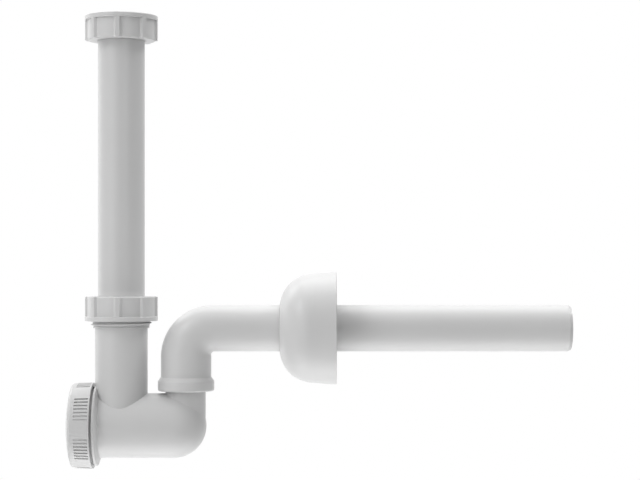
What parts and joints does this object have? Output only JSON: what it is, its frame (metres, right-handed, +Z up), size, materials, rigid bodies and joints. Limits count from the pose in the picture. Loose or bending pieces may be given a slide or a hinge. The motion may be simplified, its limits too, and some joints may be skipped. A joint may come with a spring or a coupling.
{
  "type": "basin trap",
  "caption": "Tubular washbasin trap in pale plastic: ribbed union nut, long inlet pipe, cleaning chamber with screw cap, swivelling outlet bend and wall rosette.",
  "frame": {"origin": "centre of the upper union nut's open end, on the inlet pipe's axis", "axes": "+Z up along the inlet pipe towards the basin's waste, +X along the outlet pipe towards the wall, -Y the side that the picture shows"},
  "size_m": [0.3459, 0.0776, 0.3109],
  "materials": {
    "nut_plastic": "smooth moulded, semi-gloss",
    "pipe_plastic": "smooth drawn tube, semi-gloss",
    "body_plastic": "smooth moulded, semi-gloss",
    "cap_plastic": "smooth moulded, semi-gloss",
    "rosette_plastic": "smooth moulded, semi-gloss",
    "ring_plastic": "plain moulded",
    "rubber": "soft black rubber"
  },
  "bodies": {
    "inlet": {"inlet_pipe": "pipe_plastic", "inlet_gasket": "rubber"},
    "waste_nut": {"inlet_nut": "nut_plastic"},
    "seal": {"cone_seal": "rubber"},
    "trap": {"trap_body": "body_plastic"},
    "ring": {"slip_ring": "ring_plastic"},
    "lower_nut": {"socket_nut": "nut_plastic"},
    "port_seal": {"cap_seal": "rubber"},
    "cap": {"cleaning_cap": "cap_plastic"},
    "outlet": {"outlet_bend": "pipe_plastic", "lip_seal": "rubber"},
    "rosette": {"wall_rosette": "rosette_plastic"}
  },
  "joints": [
    {"name": "union_nut_spin", "type": "hinge", "parent": "inlet", "child": "waste_nut", "pos_m": [0, 0, 0], "axis": [0, 0, 1], "continuous": true},
    {"name": "height_slide", "type": "slide", "parent": "inlet", "child": "seal", "axis": [0, 0, 1], "range_m": [-0.025, 0.0155]},
    {"name": "inlet_swivel", "type": "hinge", "parent": "seal", "child": "trap", "pos_m": [0, 0, -0.1987], "axis": [0, 0, 1], "continuous": true},
    {"name": "socket_nut_lift", "type": "slide", "parent": "trap", "child": "ring", "axis": [0, 0, 1], "range_m": [0, 0.0128]},
    {"name": "socket_nut_turn", "type": "hinge", "parent": "ring", "child": "lower_nut", "pos_m": [0, 0, -0.1987], "axis": [0, 0, 1], "range_deg": [0, 1980]},
    {"name": "cap_travel", "type": "slide", "parent": "trap", "child": "port_seal", "axis": [-1, 0, 0], "range_m": [0, 0.0141]},
    {"name": "cap_turn", "type": "hinge", "parent": "port_seal", "child": "cap", "pos_m": [-0.03, 0, -0.2813], "axis": [-1, 0, 0], "range_deg": [0, 1260]},
    {"name": "outlet_swivel", "type": "hinge", "parent": "trap", "child": "outlet", "pos_m": [0.0445, 0, -0.2813], "axis": [0, 0, 1], "range_deg": [-100, 100]},
    {"name": "rosette_slide", "type": "slide", "parent": "outlet", "child": "rosette", "axis": [1, 0, 0], "range_m": [-0.03, 0.155]}
  ],
  "couplings": [
    {"joint": "socket_nut_lift", "follows": "socket_nut_turn", "m_per_rad": 0.00036749},
    {"joint": "cap_travel", "follows": "cap_turn", "m_per_rad": 0.00063662}
  ]
}
